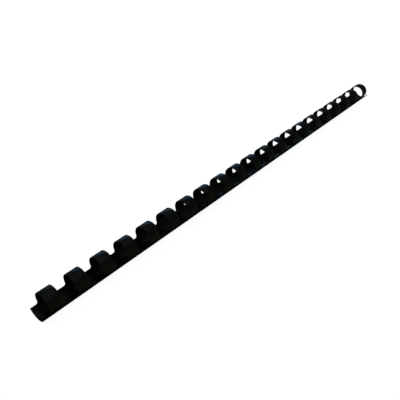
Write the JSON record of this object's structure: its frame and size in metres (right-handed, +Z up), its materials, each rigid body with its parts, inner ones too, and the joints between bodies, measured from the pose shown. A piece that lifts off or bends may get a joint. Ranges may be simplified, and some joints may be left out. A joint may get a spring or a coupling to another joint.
{
  "type": "plastic binding comb",
  "caption": "Plastic comb binding: a curved spine with a row of rolled fingers that spring shut into rings through slots along the edge of a stack of sheets.",
  "frame": {"origin": "on the back of the spine, at the middle of the comb's length, straight below the ring axis: the line that the comb lies on", "axes": "+X along the comb, +Z up through the ring axis to the tops of the closed rings, +Y towards the edge of the spine that the fingers grow from"},
  "size_m": [0.3, 0.0111, 0.0118],
  "materials": {
    "black_pvc": "smooth semi-gloss calendered PVC sheet"
  },
  "bodies": {
    "spine": {"spine_left": "black_pvc", "spine_middle": "black_pvc", "spine_right": "black_pvc"},
    "finger_01": {"finger_01": "black_pvc"},
    "finger_02": {"finger_02": "black_pvc"},
    "finger_03": {"finger_03": "black_pvc"},
    "finger_04": {"finger_04": "black_pvc"},
    "finger_05": {"finger_05": "black_pvc"},
    "finger_06": {"finger_06": "black_pvc"},
    "finger_07": {"finger_07": "black_pvc"},
    "finger_08": {"finger_08": "black_pvc"},
    "finger_09": {"finger_09": "black_pvc"},
    "finger_10": {"finger_10": "black_pvc"},
    "finger_11": {"finger_11": "black_pvc"},
    "finger_12": {"finger_12": "black_pvc"},
    "finger_13": {"finger_13": "black_pvc"},
    "finger_14": {"finger_14": "black_pvc"},
    "finger_15": {"finger_15": "black_pvc"},
    "finger_16": {"finger_16": "black_pvc"},
    "finger_17": {"finger_17": "black_pvc"},
    "finger_18": {"finger_18": "black_pvc"},
    "finger_19": {"finger_19": "black_pvc"},
    "finger_20": {"finger_20": "black_pvc"},
    "finger_21": {"finger_21": "black_pvc"}
  },
  "joints": [
    {"name": "finger_01_open", "type": "hinge", "parent": "spine", "child": "finger_01", "pos_m": [-0.14288, 0.00511, 0.00295], "axis": [-1, 0, 0], "range_deg": [0, 75], "stiffness_Nm_per_rad": 0.013},
    {"name": "finger_02_open", "type": "hinge", "parent": "spine", "child": "finger_02", "pos_m": [-0.12859, 0.00511, 0.00295], "axis": [-1, 0, 0], "range_deg": [0, 75], "stiffness_Nm_per_rad": 0.013},
    {"name": "finger_03_open", "type": "hinge", "parent": "spine", "child": "finger_03", "pos_m": [-0.1143, 0.00511, 0.00295], "axis": [-1, 0, 0], "range_deg": [0, 75], "stiffness_Nm_per_rad": 0.013},
    {"name": "finger_04_open", "type": "hinge", "parent": "spine", "child": "finger_04", "pos_m": [-0.10001, 0.00511, 0.00295], "axis": [-1, 0, 0], "range_deg": [0, 75], "stiffness_Nm_per_rad": 0.013},
    {"name": "finger_05_open", "type": "hinge", "parent": "spine", "child": "finger_05", "pos_m": [-0.08572, 0.00511, 0.00295], "axis": [-1, 0, 0], "range_deg": [0, 75], "stiffness_Nm_per_rad": 0.013},
    {"name": "finger_06_open", "type": "hinge", "parent": "spine", "child": "finger_06", "pos_m": [-0.07144, 0.00511, 0.00295], "axis": [-1, 0, 0], "range_deg": [0, 75], "stiffness_Nm_per_rad": 0.013},
    {"name": "finger_07_open", "type": "hinge", "parent": "spine", "child": "finger_07", "pos_m": [-0.05715, 0.00511, 0.00295], "axis": [-1, 0, 0], "range_deg": [0, 75], "stiffness_Nm_per_rad": 0.013},
    {"name": "finger_08_open", "type": "hinge", "parent": "spine", "child": "finger_08", "pos_m": [-0.04286, 0.00511, 0.00295], "axis": [-1, 0, 0], "range_deg": [0, 75], "stiffness_Nm_per_rad": 0.013},
    {"name": "finger_09_open", "type": "hinge", "parent": "spine", "child": "finger_09", "pos_m": [-0.02857, 0.00511, 0.00295], "axis": [-1, 0, 0], "range_deg": [0, 75], "stiffness_Nm_per_rad": 0.013},
    {"name": "finger_10_open", "type": "hinge", "parent": "spine", "child": "finger_10", "pos_m": [-0.01429, 0.00511, 0.00295], "axis": [-1, 0, 0], "range_deg": [0, 75], "stiffness_Nm_per_rad": 0.013},
    {"name": "finger_11_open", "type": "hinge", "parent": "spine", "child": "finger_11", "pos_m": [0, 0.00511, 0.00295], "axis": [-1, 0, 0], "range_deg": [0, 75], "stiffness_Nm_per_rad": 0.013},
    {"name": "finger_12_open", "type": "hinge", "parent": "spine", "child": "finger_12", "pos_m": [0.01429, 0.00511, 0.00295], "axis": [-1, 0, 0], "range_deg": [0, 75], "stiffness_Nm_per_rad": 0.013},
    {"name": "finger_13_open", "type": "hinge", "parent": "spine", "child": "finger_13", "pos_m": [0.02857, 0.00511, 0.00295], "axis": [-1, 0, 0], "range_deg": [0, 75], "stiffness_Nm_per_rad": 0.013},
    {"name": "finger_14_open", "type": "hinge", "parent": "spine", "child": "finger_14", "pos_m": [0.04286, 0.00511, 0.00295], "axis": [-1, 0, 0], "range_deg": [0, 75], "stiffness_Nm_per_rad": 0.013},
    {"name": "finger_15_open", "type": "hinge", "parent": "spine", "child": "finger_15", "pos_m": [0.05715, 0.00511, 0.00295], "axis": [-1, 0, 0], "range_deg": [0, 75], "stiffness_Nm_per_rad": 0.013},
    {"name": "finger_16_open", "type": "hinge", "parent": "spine", "child": "finger_16", "pos_m": [0.07144, 0.00511, 0.00295], "axis": [-1, 0, 0], "range_deg": [0, 75], "stiffness_Nm_per_rad": 0.013},
    {"name": "finger_17_open", "type": "hinge", "parent": "spine", "child": "finger_17", "pos_m": [0.08572, 0.00511, 0.00295], "axis": [-1, 0, 0], "range_deg": [0, 75], "stiffness_Nm_per_rad": 0.013},
    {"name": "finger_18_open", "type": "hinge", "parent": "spine", "child": "finger_18", "pos_m": [0.10001, 0.00511, 0.00295], "axis": [-1, 0, 0], "range_deg": [0, 75], "stiffness_Nm_per_rad": 0.013},
    {"name": "finger_19_open", "type": "hinge", "parent": "spine", "child": "finger_19", "pos_m": [0.1143, 0.00511, 0.00295], "axis": [-1, 0, 0], "range_deg": [0, 75], "stiffness_Nm_per_rad": 0.013},
    {"name": "finger_20_open", "type": "hinge", "parent": "spine", "child": "finger_20", "pos_m": [0.12859, 0.00511, 0.00295], "axis": [-1, 0, 0], "range_deg": [0, 75], "stiffness_Nm_per_rad": 0.013},
    {"name": "finger_21_open", "type": "hinge", "parent": "spine", "child": "finger_21", "pos_m": [0.14288, 0.00511, 0.00295], "axis": [-1, 0, 0], "range_deg": [0, 75], "stiffness_Nm_per_rad": 0.013}
  ]
}
